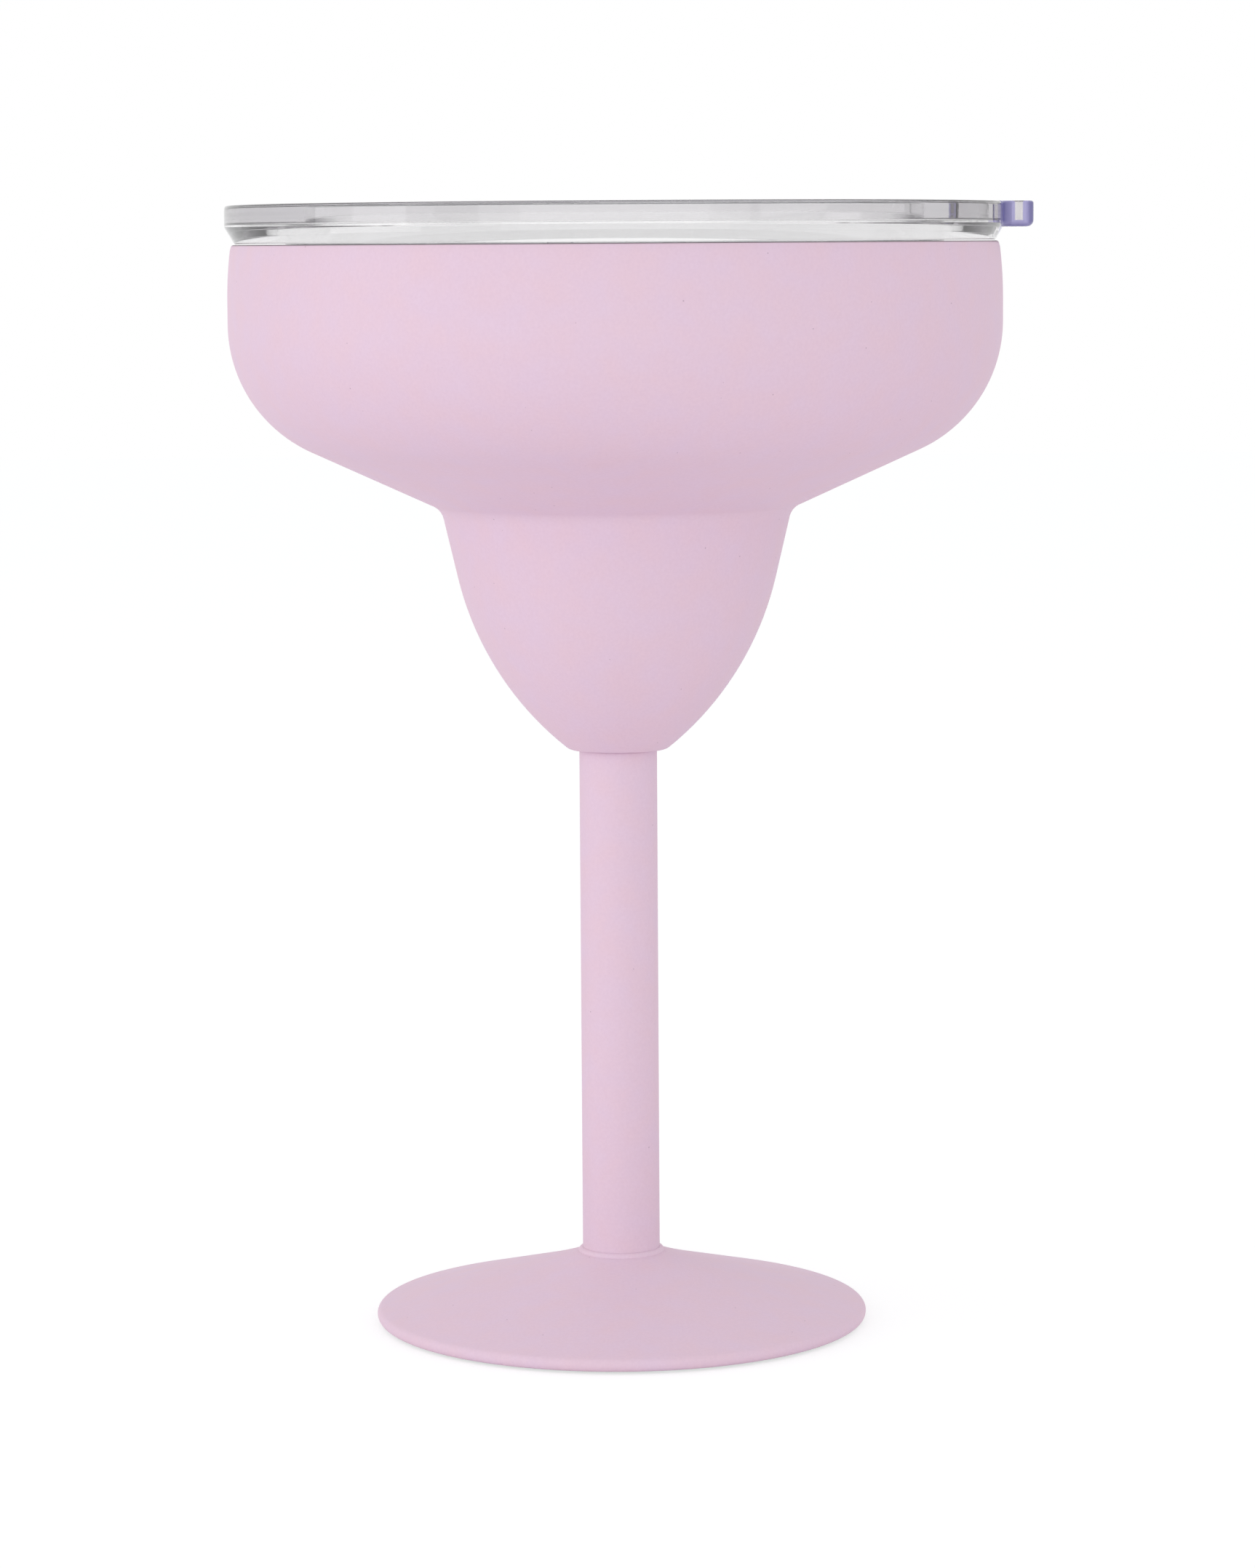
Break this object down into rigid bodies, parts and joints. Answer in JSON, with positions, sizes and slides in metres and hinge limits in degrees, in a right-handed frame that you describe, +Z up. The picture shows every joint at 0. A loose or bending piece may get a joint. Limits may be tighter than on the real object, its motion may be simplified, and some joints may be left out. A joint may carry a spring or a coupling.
{
  "type": "double-wall cocktail glass",
  "caption": "Vacuum-walled steel cocktail glass: wide bowl over a round cup on a straight stem and hemmed foot, with a clear press-in sipping lid.",
  "frame": {"origin": "centre of the foot pad's underside, on the surface the glass stands on", "axes": "+Z up along the stem, +X towards the lid's lift tab, -X towards the sip opening"},
  "size_m": [0.1226, 0.1188, 0.1733],
  "materials": {
    "pink_powder_coat": "matte",
    "bare_steel": "brushed",
    "getter_metal": "matte",
    "grey_rubber": "matte",
    "clear_silicone": "satin",
    "clear_plastic": "gloss"
  },
  "bodies": {
    "glass": {"outer_bowl": "pink_powder_coat", "inner_liner": "bare_steel", "vacuum_plug": "bare_steel", "getter_capsule": "getter_metal", "bowl_stud": "bare_steel", "stem_nut": "bare_steel", "stem_tube": "pink_powder_coat", "stem_weld_bead": "pink_powder_coat", "foot_shell": "pink_powder_coat", "base_plate": "bare_steel", "foot_pad": "grey_rubber"},
    "gasket": {"lid_gasket": "clear_silicone"},
    "lid": {"lid_body": "clear_plastic"},
    "slider": {"lid_slider": "clear_plastic", "slider_keeper": "clear_plastic"}
  },
  "joints": [
    {"name": "lid_lift", "type": "slide", "parent": "glass", "child": "gasket", "axis": [0, 0, 1], "range_m": [0, 0.06]},
    {"name": "lid_turn", "type": "hinge", "parent": "gasket", "child": "lid", "pos_m": [0, 0, 0.1612], "axis": [0, 0, 1], "continuous": true},
    {"name": "slider_close", "type": "slide", "parent": "lid", "child": "slider", "axis": [-1, 0, 0], "range_m": [0, 0.0098]}
  ]
}
